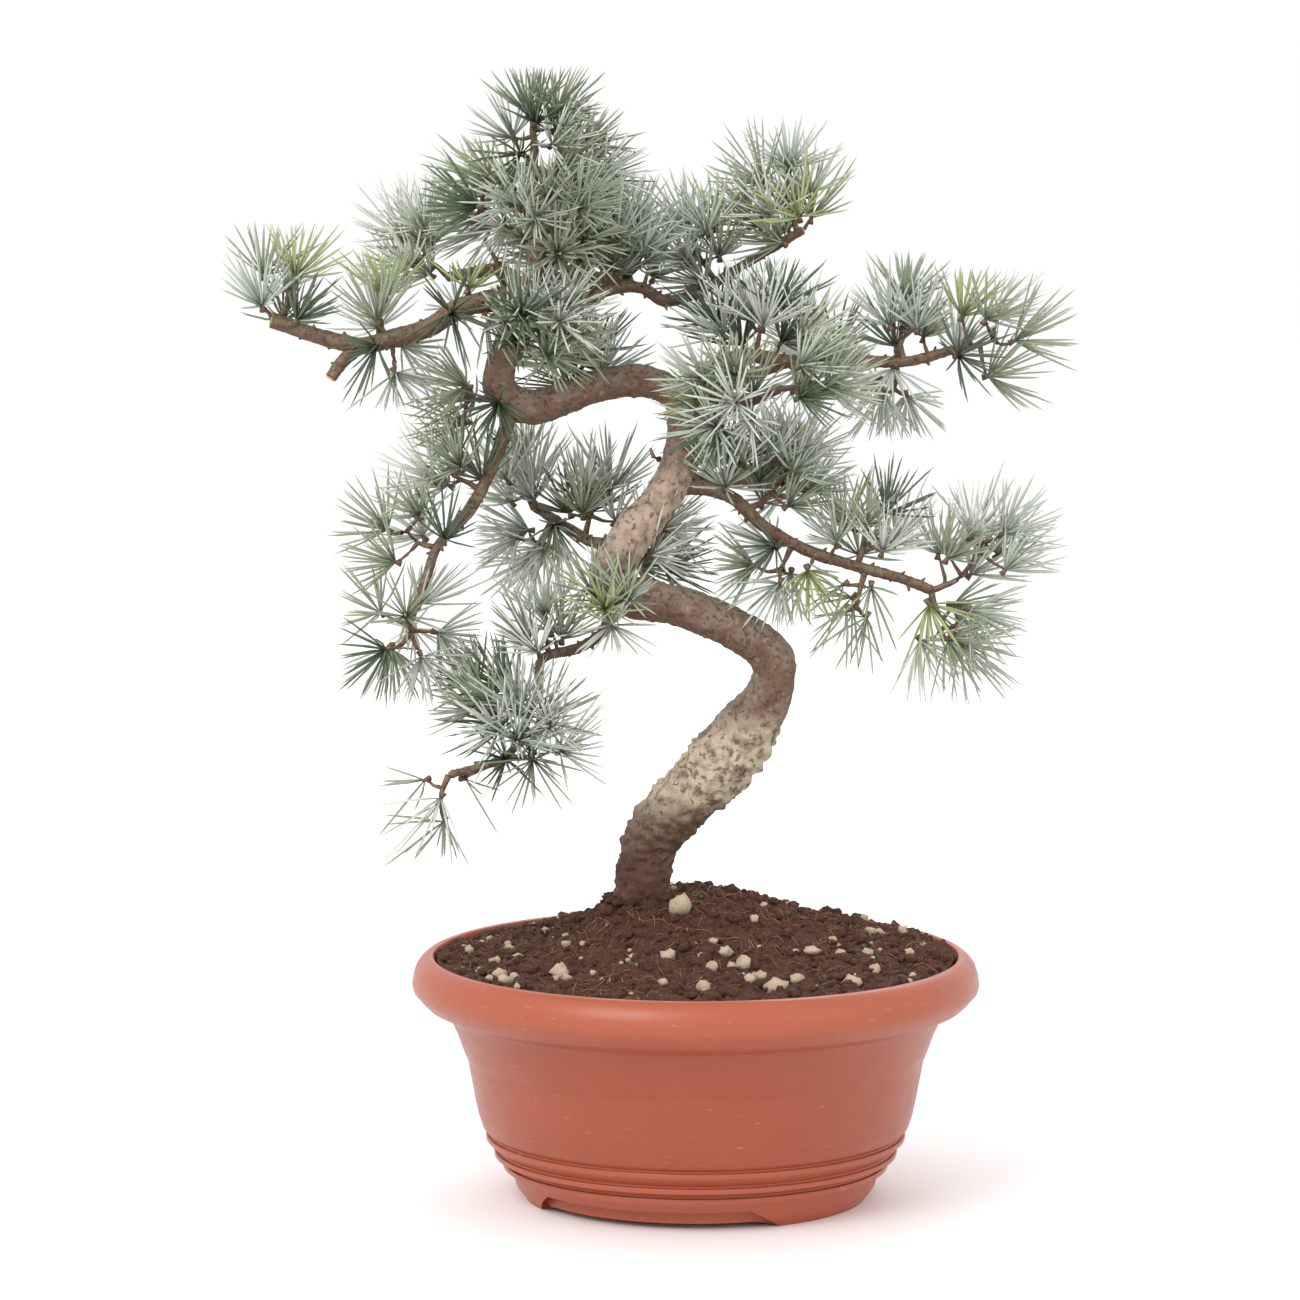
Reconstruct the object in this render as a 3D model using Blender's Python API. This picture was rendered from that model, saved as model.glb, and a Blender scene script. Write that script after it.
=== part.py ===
"""Blue atlas cedar bonsai in a round plastic bowl, as separate solids.

The origin is at the bowl's centre on the ground, with +Z up. The bonsai's front faces -Y, and +X is
its right seen from there. Named sizes are millimetres, and MM turns them into metres.

The trunk and each bough are tapering limbs, swept along a smooth route through a few stations. Each
mass of needles is an uneven, closed solid that starts on a limb and reaches out from it. Masses keep
clear of each other at planes between them, and are cut round the limbs that run through them.
"""

import math
import random

import bmesh
import bpy
import numpy as np
from mathutils import Vector
from mathutils.bvhtree import BVHTree

MM = 0.001
GAP = 0.3  # between pieces that touch
SHARP_EDGE = 40.0  # degrees, above which an edge is not shaded round

# The bowl. Radii and heights of its turned section.
POT_SEGMENTS = 32
POT_RIM_R = 100.2
POT_RIM_TOP = 86.4
POT_MOUTH_R = 92.3
POT_WALL = 2.2
PAN_BOTTOM = 2.2
PAN_THICK = 2.2
PAN_R = 56.8
FOOT_TOP = 7.0
FOOT_OUTER_R = 60.8
FOOT_INNER_R = 57.5
SKIRT_BACK_R = 59.6
RIB_STEP = 0.9
RIB_TOPS = (22.3, 16.5, 12.3)
RIB_RADII = (73.0, 70.1, 67.0)

# The two gaps between its feet, as angles from the front, positive towards +X.
FOOT_GAP_BOTTOM = (-64.0, 28.5)
FOOT_GAP_TOP = (-53.7, 16.8)
FOOT_GAP_STATIONS = 7
FOOT_GAP_BELOW, FOOT_GAP_BEYOND = 1.0, 70.0  # how far the cutter passes under and outside the skirt
FOOT_GAP_INSIDE = 3.0

DRAIN_HOLE_R = 3.5
DRAIN_RING_R = 36.0
DRAIN_HOLES = 4
DRAIN_HOLE_SIDES = 8
DRAIN_CUT = 12.0

# The soil: its level at the wall, and the mound that the trunk stands in.
SOIL_LEVEL = 84.6
SOIL_SPOKES = POT_SEGMENTS // 2
MOUND_AT = (-8.0, 10.0)
MOUND_HIGH = 23.5
MOUND_LEFT, MOUND_RIGHT = 34.0, 60.0
MOUND_FRONT, MOUND_BACK = 52.0, 56.0
SOIL_LUMP = 0.9
SEAT_R = 15.0
SOIL_SHARES = (0.14, 0.32, 0.52, 0.74, 0.92)  # of the way from the trunk's foot to the wall
SOIL_WALL_GAP = 0.8
SOIL_EDGE_DROP = 1.5
SOIL_SEED = 5

# The trunk: x, y, z and thickness of its stations, from the soil to the tip of the leader.
TRUNK_FOOT_Z = 104.5
TRUNK = (
    (-19.0, 10, TRUNK_FOOT_Z, 17.6),
    (-17.2, 9, 120.0, 18.8),
    (-11.6, 8, 132.0, 20.4),
    (-0.4, 6, 143.5, 21.8),
    (10.4, 4, 155.5, 24.2),
    (19.2, 2, 168.0, 20.8),
    (25.5, 0, 179.0, 16.8),
    (27.5, -1, 188.0, 15.4),
    (24.0, -2, 195.0, 14.8),
    (17.0, -3, 200.0, 14.7),
    (6.5, -4, 205.5, 14.7),
    (-4.0, -5, 209.6, 14.7),
    (-14.5, -6, 212.3, 14.7),
    (-22.0, -7, 213.2, 14.7),
    (-28.0, -8, 216.0, 14.7),
    (-30.0, -8, 221.5, 15.0),
    (-26.0, -7, 230.0, 14.7),
    (-18.0, -5, 240.0, 14.0),
    (-10.0, -3, 251.0, 13.3),
    (-5.5, -1, 261.0, 12.9),
    (-4.0, 1, 271.5, 12.6),
    (-5.0, 3, 280.0, 11.9),
    (-11.0, 4, 286.0, 11.3),
    (-20.0, 4, 288.5, 11.2),
    (-30.0, 4, 287.8, 11.5),
    (-40.0, 3, 285.0, 11.5),
    (-48.0, 1, 282.0, 11.5),
    (-57.0, -1, 279.8, 12.4),
    (-65.0, -3, 282.2, 12.2),
    (-68.5, -4, 288.0, 11.5),
    (-68.0, -4, 295.0, 11.1),
    (-63.5, -2, 305.0, 12.2),
    (-62.0, 0, 315.0, 12.2),
    (-56.0, 1, 325.0, 9.2),
    (-55.5, 3, 335.5, 7.7),
    (-57.0, 4, 352.6, 4.9),
    (-56.5, 5, 372.0, 2.6),
    (-58.0, 6, 387.0, 1.6),
)
FLARE = 0.22
FLARE_FADES = 5.0
FLARE_ROOTS = 4
FLARE_LOBES = 0.5

# The boughs, with stations as for the trunk. Each starts inside the limb that carries it, which cuts
# it off there.
BOUGHS = {
    "bough_left_arm": (
        (-63, -1, 318, 8.6),
        (-81, -6, 315, 7.6),
        (-94, -8, 307.5, 6.9),
        (-108, -10, 303.7, 6.2),
        (-116, -11, 301.8, 6.2),
        (-124, -12, 303.2, 5.9),
        (-147, -14, 311, 5.5),
    ),
    "bough_left_stub": (
        (-115, -11, 303, 5.2),
        (-123.5, -13, 295.6, 4.5),
        (-126.7, -14, 290.8, 4.2),
    ),
    "bough_upper_left": (
        (-60, 1, 320, 5.8),
        (-67, 4, 327, 4.9),
        (-77, 12, 326, 4.6),
        (-87, 20, 324, 3.5),
    ),
    "bough_upper_right": (
        (-60, 1, 317, 5.6),
        (-50, 2, 316, 4.9),
        (-39, 4, 317, 4.9),
        (-31, 7, 320, 4.5),
        (-19, 10, 320.6, 4.2),
        (-11, 13, 316, 4.2),
        (-1, 16, 318, 3.9),
        (14, 20, 326.5, 3.5),
        (37.5, 26, 340, 3.2),
    ),
    "bough_right_arm": (
        (-7, 4, 283, 7.7),
        (9, 6, 294.3, 6.3),
        (19, 8, 297, 5.6),
        (30.5, 9, 295, 4.9),
        (57, 10, 295, 4.6),
        (75, 10, 295, 3.9),
        (90, 10, 299, 3.5),
    ),
    "bough_mid_right": (
        (-4, 1, 275, 6.3),
        (6, -5, 278.7, 5.6),
        (16.5, -14, 282.5, 4.9),
        (28, -25, 288, 4.1),
    ),
    "bough_lower_right": (
        (-9, -2, 252, 6.3),
        (5.5, -4, 251, 5.2),
        (11.5, -6, 249, 4.9),
        (23.5, -8, 238.7, 4.6),
        (37, -9, 231, 4.3),
        (58, -10, 224.2, 3.9),
        (71, -10, 220.7, 3.8),
        (82, -10, 216.5, 3.6),
    ),
    "bough_left_droop": (
        (-64, -3, 281, 5.6),
        (-66, -5, 273, 4.9),
        (-70, -8, 262, 4.5),
        (-79, -12, 244.7, 4.2),
        (-91, -16, 230.4, 3.5),
        (-93.6, -18, 222.3, 3.5),
        (-100, -21, 206, 3.0),
    ),
    "bough_back_left": (
        (-23, -3, 233, 5.6),
        (-27, 8, 231, 5),
        (-37, 20, 230.4, 4.2),
        (-44, 30, 233.5, 3.9),
        (-58, 41, 241, 3.4),
    ),
    "bough_lower_left": (
        (-28, -9, 215, 4.6),
        (-33, -12, 201.6, 3.9),
        (-40, -14, 197, 3.8),
        (-54, -18, 192.5, 3.5),
        (-55, -20, 184.7, 3.1),
        (-60, -23, 170, 3.1),
        (-65.5, -25, 160.5, 2.8),
        (-74, -27, 157, 2.8),
        (-86, -29, 154, 2.4),
    ),
    "bough_back_top": (
        (-60, 1, 318, 5),
        (-50, 20, 323, 4.6),
        (-32, 42, 322, 4),
        (-18, 54, 318, 3.2),
    ),
    "bough_back_mid": (
        (-5, 3, 277, 6),
        (8, 24, 284, 5),
        (32, 44, 292, 4.2),
        (48, 53, 296, 3.2),
    ),
    "bough_back_low": (
        (-9, -2, 252, 5.6),
        (2, 16, 253, 4.8),
        (20, 33, 251, 4.2),
        (34, 44, 249, 3.2),
    ),
}
TRUNK_SIDES, BOUGH_SIDES = 10, 6
LONGEST_RUN, SHARPEST_TURN = 11.0, 24.0  # between two rings of a limb: millimetres, and degrees

# The masses of needles: the limb that each one springs from and how far along it, its reach from
# there to its far tip, its breadth across that, and its depth from front to back.
MASSES = {
    "foliage_leader_top": ("trunk", 0.91, (0, 0, 44), 54, 44),
    "foliage_crown_upper_right": ("trunk", 0.90, (37, 3, 27), 36, 46),
    "foliage_crown_right": ("trunk", 0.88, (56, 4, 6), 46, 50),
    "foliage_crown_front": ("trunk", 0.87, (14, -52, 18), 44, 50),
    "foliage_crown_back": ("trunk", 0.87, (16, 58, 14), 48, 54),
    "foliage_upper_left_outer": ("bough_upper_left", 0.95, (-27, 4, 28), 38, 44),
    "foliage_upper_left_inner": ("bough_upper_left", 0.52, (-7, 0, 44), 38, 44),
    "foliage_left_arm_end": ("bough_left_arm", 0.88, (-6, -2, 31), 54, 50),
    "foliage_left_arm_middle": ("bough_left_arm", 0.56, (-1, 2, 27), 36, 46),
    "foliage_left_arm_inner": ("bough_left_arm", 0.40, (34, 4, 11), 32, 44),
    "foliage_left_arm_under": ("bough_left_arm", 0.49, (-1, 2, -19), 34, 40),
    "foliage_crook_front": ("trunk", 0.82, (21, -46, -6), 42, 46),
    "foliage_arch_back": ("trunk", 0.77, (46, 40, 1), 26, 44),
    "foliage_upper_right_inner": ("bough_upper_right", 0.53, (4, 2, 44), 44, 48),
    "foliage_upper_right_outer": ("bough_upper_right", 0.80, (20, 2, 42), 52, 50),
    "foliage_right_arm_top": ("bough_right_arm", 0.34, (-2, -2, 29), 76, 50),
    "foliage_mid_right_front": ("bough_mid_right", 0.36, (-5, -42, 10), 46, 48),
    "foliage_mid_right_outer": ("bough_mid_right", 0.96, (36, -4, 4), 36, 46),
    "foliage_right_arm_fork": ("bough_right_arm", 0.79, (5, 2, 35), 32, 44),
    "foliage_right_arm_under": ("bough_right_arm", 0.79, (-2, 0, -22), 34, 40),
    "foliage_right_arm_end": ("bough_right_arm", 0.96, (41, 2, 11), 52, 50),
    "foliage_lower_right_first": ("bough_lower_right", 0.20, (7, 2, 27), 34, 44),
    "foliage_lower_right_second": ("bough_lower_right", 0.38, (17, 2, 38), 44, 46),
    "foliage_lower_right_under": ("bough_lower_right", 0.44, (-2, -4, -27), 40, 40),
    "foliage_lower_right_third": ("bough_lower_right", 0.74, (6, 2, 33), 54, 48),
    "foliage_lower_right_end": ("bough_lower_right", 0.95, (46, -2, 32), 52, 50),
    "foliage_lower_right_end_under": ("bough_lower_right", 0.96, (24, -2, -34), 42, 46),
    "foliage_lower_right_hanging": ("bough_lower_right", 0.64, (13, -4, -35), 22, 28),
    "foliage_droop_top": ("bough_left_droop", 0.15, (-30, -4, 25), 34, 44),
    "foliage_droop_upper": ("bough_left_droop", 0.28, (-36, -6, 2), 34, 46),
    "foliage_droop_middle": ("bough_left_droop", 0.56, (-37, -8, -4), 46, 50),
    "foliage_droop_end": ("bough_left_droop", 0.80, (-14, -8, -34), 54, 50),
    "foliage_back_left_outer": ("bough_back_left", 0.90, (-15, 6, 27), 44, 50),
    "foliage_back_left_under": ("bough_back_left", 0.84, (-8, 2, -25), 48, 42),
    "foliage_back_left_inner": ("bough_back_left", 0.50, (5, -2, 36), 40, 44),
    "foliage_back_of_bend": ("trunk", 0.45, (21, 32, -10), 30, 40),
    "foliage_bend_front": ("trunk", 0.39, (-16, -30, 2), 32, 38),
    "foliage_lower_left_upper": ("bough_lower_left", 0.31, (-9, -12, 17), 40, 46),
    "foliage_lower_left_middle": ("bough_lower_left", 0.55, (-32, -2, 4), 38, 46),
    "foliage_lower_left_lower": ("bough_lower_left", 0.66, (5, -34, 1), 54, 52),
    "foliage_lower_left_tip": ("bough_lower_left", 0.89, (-27, -2, -27), 28, 34),
    "foliage_back_top": ("bough_back_top", 0.80, (8, 26, 16), 44, 46),
    "foliage_back_mid": ("bough_back_mid", 0.80, (14, 24, 8), 42, 44),
    "foliage_back_low": ("bough_back_low", 0.80, (12, 24, 6), 34, 42),
}
MASS_SEGMENTS, MASS_RINGS = 9, 6
MASS_LUMPS = 7
MASS_UNEVEN = 0.26
MASS_ROUGH = 0.12
MASS_NECK = 0.30
MASS_HEEL = 3.0
MASS_SWELL = 1.04
MASS_LUMP_LEAN = 0.4  # how much the lumps lean to the outer end
MASS_STEEP = 0.8

# Colours, as linear red, green and blue.
TERRACOTTA = (0.52, 0.115, 0.062)
PEAT = (0.045, 0.020, 0.013)
BARK = (0.27, 0.19, 0.13)
TWIG_BARK = (0.20, 0.10, 0.055)
NEEDLE_BLUE = (0.20, 0.32, 0.32)


def clear_scene():
    for obj in list(bpy.data.objects):
        bpy.data.objects.remove(obj)


def principled(name, colour, roughness):
    """A plain material of one colour."""
    material = bpy.data.materials.new(name)
    material.use_nodes = True
    shader = material.node_tree.nodes["Principled BSDF"]
    shader.inputs["Base Color"].default_value = (*colour, 1.0)
    shader.inputs["Roughness"].default_value = roughness
    shader.inputs["Metallic"].default_value = 0.0
    return material


def add_object(name, bm, material=None):
    """Turns a bmesh, in metres, into a named object with its faces pointing out."""
    bmesh.ops.recalc_face_normals(bm, faces=bm.faces)
    if bm.calc_volume(signed=True) < 0:
        bmesh.ops.reverse_faces(bm, faces=bm.faces)
    mesh = bpy.data.meshes.new(name)
    bm.to_mesh(mesh)
    bm.free()
    mesh.shade_smooth()
    mesh.set_sharp_from_angle(angle=math.radians(SHARP_EDGE))
    obj = bpy.data.objects.new(name, mesh)
    bpy.context.scene.collection.objects.link(obj)
    if material is not None:
        mesh.materials.append(material)
    return obj


def as_bmesh(obj):
    """The object as it is with its modifiers, in metres."""
    bpy.context.view_layer.update()
    graph = bpy.context.evaluated_depsgraph_get()
    mesh = bpy.data.meshes.new_from_object(obj.evaluated_get(graph))
    bm = bmesh.new()
    bm.from_mesh(mesh)
    bpy.data.meshes.remove(mesh)
    return bm


def islands(bm):
    """The connected groups of faces, largest first."""
    left = set(bm.faces)
    groups = []
    while left:
        group = [left.pop()]
        for face in group:
            for edge in face.edges:
                for near in edge.link_faces:
                    if near in left:
                        left.remove(near)
                        group.append(near)
        groups.append(group)
    return sorted(groups, key=len, reverse=True)


def meets(first, second):
    trees = []
    for obj in (first, second):
        bm = as_bmesh(obj)
        trees.append(BVHTree.FromBMesh(bm))
        bm.free()
    return bool(trees[0].overlap(trees[1]))


def carve(obj, cutters):
    """Cuts the cutters out of obj for good, and keeps the largest piece of what is left."""
    for cutter in cutters:
        modifier = obj.modifiers.new(cutter.name, "BOOLEAN")
        modifier.operation = "DIFFERENCE"
        modifier.solver = "EXACT"
        modifier.object = cutter
    bm = as_bmesh(obj)
    obj.modifiers.clear()
    for group in islands(bm)[1:]:
        bmesh.ops.delete(bm, geom=group, context="FACES")
    bmesh.ops.delete(bm, geom=[v for v in bm.verts if not v.link_faces], context="VERTS")
    bm.to_mesh(obj.data)
    bm.free()
    obj.data.shade_smooth()
    obj.data.set_sharp_from_angle(angle=math.radians(SHARP_EDGE))


def turned(profile, segments):
    """A bmesh turned round the Z axis from (radius, height) points in millimetres."""
    bm = bmesh.new()
    points = [bm.verts.new((r * MM, 0.0, z * MM)) for r, z in profile]
    lines = [bm.edges.new(pair) for pair in zip(points, points[1:], strict=False)]
    bmesh.ops.spin(
        bm,
        geom=points + lines,
        axis=(0, 0, 1),
        cent=(0, 0, 0),
        angle=math.tau,
        steps=segments,
        use_merge=True,
    )
    bmesh.ops.remove_doubles(bm, verts=bm.verts, dist=1e-6)
    return bm


def pot_inside():
    """The inner section of the bowl, from the axis out over the pan and up to the mouth."""
    pan_top = PAN_BOTTOM + PAN_THICK
    return [
        (0.0, pan_top),
        (PAN_R, pan_top),
        (PAN_R + 0.6, FOOT_TOP + POT_WALL),
        (69.0, 18.5),
        (74.0, 28.0),
        (78.3, 47.7),
        (87.0, 68.0),
        (POT_MOUTH_R, POT_RIM_TOP - 1.4),
    ]


def pot_outside():
    """The outer section, from the rim's top down over the wall and its ribs to the foot."""
    section = [
        (POT_MOUTH_R + 1.6, POT_RIM_TOP),
        (98.7, 82.5),
        (POT_RIM_R, 76.6),
        (98.2, 72.4),
        (95.2, 69.4),
        (88.9, 67.2),
        (84.5, 59.5),
        (80.5, 47.7),
        (78.2, 36.0),
        (75.7, 25.0),
    ]
    for top, radius in zip(RIB_TOPS, RIB_RADII, strict=True):
        section.append((radius, top + 0.4))
        section.append((radius + RIB_STEP, top))
    section += [
        (64.4, FOOT_TOP),
        (63.6, 4.6),
        (61.2, 1.4),
        (FOOT_OUTER_R, 0.0),
        (FOOT_INNER_R, 0.0),
        (FOOT_INNER_R - 0.6, PAN_BOTTOM),
        (0.0, PAN_BOTTOM),
    ]
    return section


def foot_gap_cutter(turn):
    """An L-shaped block that follows the skirt round one gap between the feet, with slanting ends."""
    corners = (
        (FOOT_INNER_R - FOOT_GAP_INSIDE, -FOOT_GAP_BELOW),
        (FOOT_GAP_BEYOND, -FOOT_GAP_BELOW),
        (FOOT_GAP_BEYOND, FOOT_TOP),
        (SKIRT_BACK_R, FOOT_TOP),
        (SKIRT_BACK_R, PAN_BOTTOM),
        (FOOT_INNER_R - FOOT_GAP_INSIDE, PAN_BOTTOM),
    )
    bm = bmesh.new()
    rows = []
    for station in range(FOOT_GAP_STATIONS):
        along = station / (FOOT_GAP_STATIONS - 1)
        row = []
        for radius, z in corners:
            rise = max(0.0, z) / FOOT_TOP
            start = FOOT_GAP_BOTTOM[0] + (FOOT_GAP_TOP[0] - FOOT_GAP_BOTTOM[0]) * rise
            end = FOOT_GAP_BOTTOM[1] + (FOOT_GAP_TOP[1] - FOOT_GAP_BOTTOM[1]) * rise
            angle = math.radians(start + (end - start) * along + turn)
            x, y = radius * math.sin(angle), -radius * math.cos(angle)
            row.append(bm.verts.new((x * MM, y * MM, z * MM)))
        rows.append(row)
    for row, following in zip(rows, rows[1:], strict=False):
        for i in range(len(corners)):
            k = (i + 1) % len(corners)
            bm.faces.new((row[i], row[k], following[k], following[i]))
    bm.faces.new(rows[0])
    bm.faces.new(rows[-1])
    return add_object("foot_gap_cutter", bm)


def drain_hole_cutter(angle):
    bm = bmesh.new()
    bmesh.ops.create_cone(
        bm,
        cap_ends=True,
        segments=DRAIN_HOLE_SIDES,
        radius1=DRAIN_HOLE_R * MM,
        radius2=DRAIN_HOLE_R * MM,
        depth=DRAIN_CUT * MM,
    )
    place = Vector((math.sin(angle), -math.cos(angle), 0)) * DRAIN_RING_R * MM
    bmesh.ops.translate(bm, verts=bm.verts, vec=place)
    return add_object("drain_hole_cutter", bm)


def make_pot(material):
    section = pot_inside() + pot_outside()
    pot = add_object("pot", turned(section, POT_SEGMENTS), material)
    cutters = [foot_gap_cutter(turn) for turn in (0.0, 180.0)]
    cutters += [drain_hole_cutter(math.tau * (k + 0.5) / DRAIN_HOLES) for k in range(DRAIN_HOLES)]
    carve(pot, cutters)
    for cutter in cutters:
        bpy.data.objects.remove(cutter)


def soil_height(x, y, rng):
    """The soil's surface: level at the wall, with a mound that falls off faster to the left."""
    side = MOUND_LEFT if x < MOUND_AT[0] else MOUND_RIGHT
    end = MOUND_FRONT if y < MOUND_AT[1] else MOUND_BACK
    fall = ((x - MOUND_AT[0]) / side) ** 2 + ((y - MOUND_AT[1]) / end) ** 2
    return SOIL_LEVEL + MOUND_HIGH * math.exp(-fall) + rng.uniform(-SOIL_LUMP, SOIL_LUMP)


def make_soil(material):
    """A closed plug that fills the bowl. Its top is a fan of spokes round the trunk's foot."""
    rng = random.Random(SOIL_SEED)
    foot = Vector(TRUNK[0][:2])
    wall_r = POT_MOUTH_R - SOIL_WALL_GAP
    floor = PAN_BOTTOM + PAN_THICK + GAP
    inside = [(r - GAP, max(z, floor)) for r, z in pot_inside()[1:-2]]
    bm = bmesh.new()

    def vertex(x, y, z):
        return bm.verts.new((x * MM, y * MM, z * MM))

    seat_z = TRUNK_FOOT_Z - GAP
    middle = vertex(*foot, seat_z)
    rows = []
    for spoke in range(SOIL_SPOKES):
        angle = math.tau * spoke / SOIL_SPOKES
        out = Vector((math.cos(angle), math.sin(angle)))
        seat = foot + out * SEAT_R
        rim = out * wall_r
        row = [vertex(*seat, seat_z)]
        for share in SOIL_SHARES:
            at = seat.lerp(rim, share)
            row.append(vertex(*at, soil_height(*at, rng)))
        row.append(vertex(*rim, SOIL_LEVEL - SOIL_EDGE_DROP))
        for radius, z in reversed(inside):
            row.append(vertex(*(out * radius), z))
        rows.append(row)
    bottom = vertex(0.0, 0.0, floor)
    for row, following in zip(rows, rows[1:] + rows[:1], strict=True):
        bm.faces.new((middle, row[0], following[0]))
        for i in range(len(row) - 1):
            bm.faces.new((row[i], row[i + 1], following[i + 1], following[i]))
        bm.faces.new((row[-1], bottom, following[-1]))
    bmesh.ops.triangulate(bm, faces=bm.faces)
    add_object("soil", bm, material)


def smooth_route(stations, step=1.0):
    """Rows of x, y, z and thickness, about a step apart, on a smooth curve through the stations."""
    points = np.array(stations, float)
    along = np.concatenate([[0.0], np.cumsum(np.linalg.norm(np.diff(points[:, :3], axis=0), axis=1))])
    slopes = np.gradient(points, along, axis=0)
    rows = []
    for i in range(len(points) - 1):
        span = along[i + 1] - along[i]
        for t in np.arange(0.0, 1.0, 1.0 / max(2, round(span / step))):
            rows.append(
                (1 + 2 * t) * (1 - t) ** 2 * points[i]
                + t * (1 - t) ** 2 * span * slopes[i]
                + t * t * (3 - 2 * t) * points[i + 1]
                + t * t * (t - 1) * span * slopes[i + 1]
            )
    rows.append(points[-1])
    return np.array(rows)


def ring_places(route):
    """Indices of the route with a ring each, closer round a bend, and the heading all along it."""
    heading = np.gradient(route[:, :3], axis=0)
    heading /= np.linalg.norm(heading, axis=1)[:, None]
    kept = [0]
    run = 0.0
    for i in range(1, len(route) - 1):
        run += np.linalg.norm(route[i, :3] - route[i - 1, :3])
        turn = math.degrees(math.acos(np.clip(heading[i] @ heading[kept[-1]], -1, 1)))
        if run >= LONGEST_RUN or turn >= SHARPEST_TURN:
            kept.append(i)
            run = 0.0
    return kept + [len(route) - 1], heading


def limb_bmesh(route, sides, spare=0.0, rooted=False):
    """A tapering tube along the route, with flat ends. A rooted limb has a level, flared foot."""
    kept, heading = ring_places(route)
    if rooted:
        heading[0] = (0, 0, 1)
    bm = bmesh.new()
    across = Vector(heading[0]).orthogonal().normalized()
    rings = []
    for i in kept:
        tangent = Vector(heading[i])
        across = (across - tangent * across.dot(tangent)).normalized()
        other = tangent.cross(across)
        centre = Vector(route[i, :3])
        height = centre.z - route[0, 2]
        ring = []
        for k in range(sides):
            angle = math.tau * k / sides
            radius = route[i, 3] / 2 + spare
            if rooted:
                swell = math.exp(-height / FLARE_FADES)
                radius *= 1 + FLARE * swell * (1 + FLARE_LOBES * math.cos(FLARE_ROOTS * angle))
            place = centre + (across * math.cos(angle) + other * math.sin(angle)) * radius
            ring.append(bm.verts.new(place * MM))
        rings.append(ring)
    for ring, following in zip(rings, rings[1:], strict=False):
        for k in range(sides):
            n = (k + 1) % sides
            bm.faces.new((ring[k], ring[n], following[n], following[k]))
    bm.faces.new(rings[0])
    bm.faces.new(rings[-1])
    return bm


def make_limbs(trunk_material, bough_material):
    """The trunk and boughs, each cut off at those before it. Returns their routes and clearances."""
    routes = {"trunk": smooth_route(TRUNK)}
    add_object("trunk", limb_bmesh(routes["trunk"], TRUNK_SIDES, rooted=True), trunk_material)
    clear = [add_object("clear", limb_bmesh(routes["trunk"], TRUNK_SIDES, GAP, rooted=True))]
    for name, stations in BOUGHS.items():
        routes[name] = smooth_route(stations)
        bough = add_object(name, limb_bmesh(routes[name], BOUGH_SIDES), bough_material)
        carve(bough, [cutter for cutter in clear if meets(bough, cutter)])
        clear.append(add_object("clear", limb_bmesh(routes[name], BOUGH_SIDES, GAP)))
    return routes, clear


def place_on(route, share):
    """The point that share of the way along a route."""
    run = np.concatenate([[0.0], np.cumsum(np.linalg.norm(np.diff(route[:, :3], axis=0), axis=1))])
    return Vector([np.interp(share * run[-1], run, route[:, k]) for k in range(3)])


class Mass:
    """One mass of needles: an egg with its narrow end on a limb, in its own three directions."""

    def __init__(self, route, share, reach, breadth, depth):
        base = place_on(route, share)
        reach = Vector(reach)
        self.out = reach.normalized()
        facing = Vector((0, 1, 0))
        if abs(self.out.dot(facing)) > MASS_STEEP:
            facing = Vector((0, 0, 1))
        self.side = self.out.cross(facing).normalized()
        self.deep = self.out.cross(self.side)
        self.half = ((reach.length + MASS_HEEL) / 2, breadth / 2, depth / 2)
        self.centre = base + reach / 2 - self.out * MASS_HEEL / 2

    def radius(self, direction):
        """The even egg's radius in a direction."""
        parts = [direction.dot(axis) for axis in (self.out, self.side, self.deep)]
        ball = 1 / math.sqrt(sum((p / h) ** 2 for p, h in zip(parts, self.half, strict=True)))
        neck = MASS_NECK * (1 - parts[0] ** 2) * (1 - parts[0]) / 2
        return ball * (1 - neck)


def mass_bmesh(mass, others, rng):
    """The mass's uneven surface, held back at a plane between it and each other mass."""
    planes = []
    for other in others:
        towards = other.centre - mass.centre
        apart = towards.length
        towards.normalize()
        own, theirs = mass.radius(towards), other.radius(-towards)
        planes.append((towards, apart * own / (own + theirs) - GAP / 2))
    lumps = [mass.out]
    for _ in range(MASS_LUMPS):
        lump = Vector([rng.gauss(0, 1) for _ in range(3)]).normalized()
        lumps.append((lump + mass.out * MASS_LUMP_LEAN).normalized())
    bm = bmesh.new()
    bmesh.ops.create_uvsphere(bm, u_segments=MASS_SEGMENTS, v_segments=MASS_RINGS, radius=1.0)
    turn = rng.uniform(0, math.tau)
    for vertex in bm.verts:
        x, y, z = vertex.co
        x, y = x * math.cos(turn) - y * math.sin(turn), x * math.sin(turn) + y * math.cos(turn)
        direction = (mass.side * x + mass.deep * y + mass.out * z).normalized()
        nearest = max(direction.dot(lump) for lump in lumps)
        radius = mass.radius(direction) * (MASS_SWELL - MASS_UNEVEN * (1 - nearest))
        radius *= 1 + rng.uniform(-MASS_ROUGH, MASS_ROUGH)
        for towards, limit in planes:
            lean = direction.dot(towards)
            if radius * lean > limit:
                radius = limit / lean
        vertex.co = (mass.centre + direction * radius) * MM
    return bm


def make_masses(routes, clear, material):
    masses = {name: Mass(routes[limb], *rest) for name, (limb, *rest) in MASSES.items()}
    for seed, (name, mass) in enumerate(masses.items()):
        others = [other for key, other in masses.items() if key != name]
        obj = add_object(name, mass_bmesh(mass, others, random.Random(seed)), material)
        cutters = [cutter for cutter in clear if meets(obj, cutter)]
        if cutters:
            carve(obj, cutters)


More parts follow.
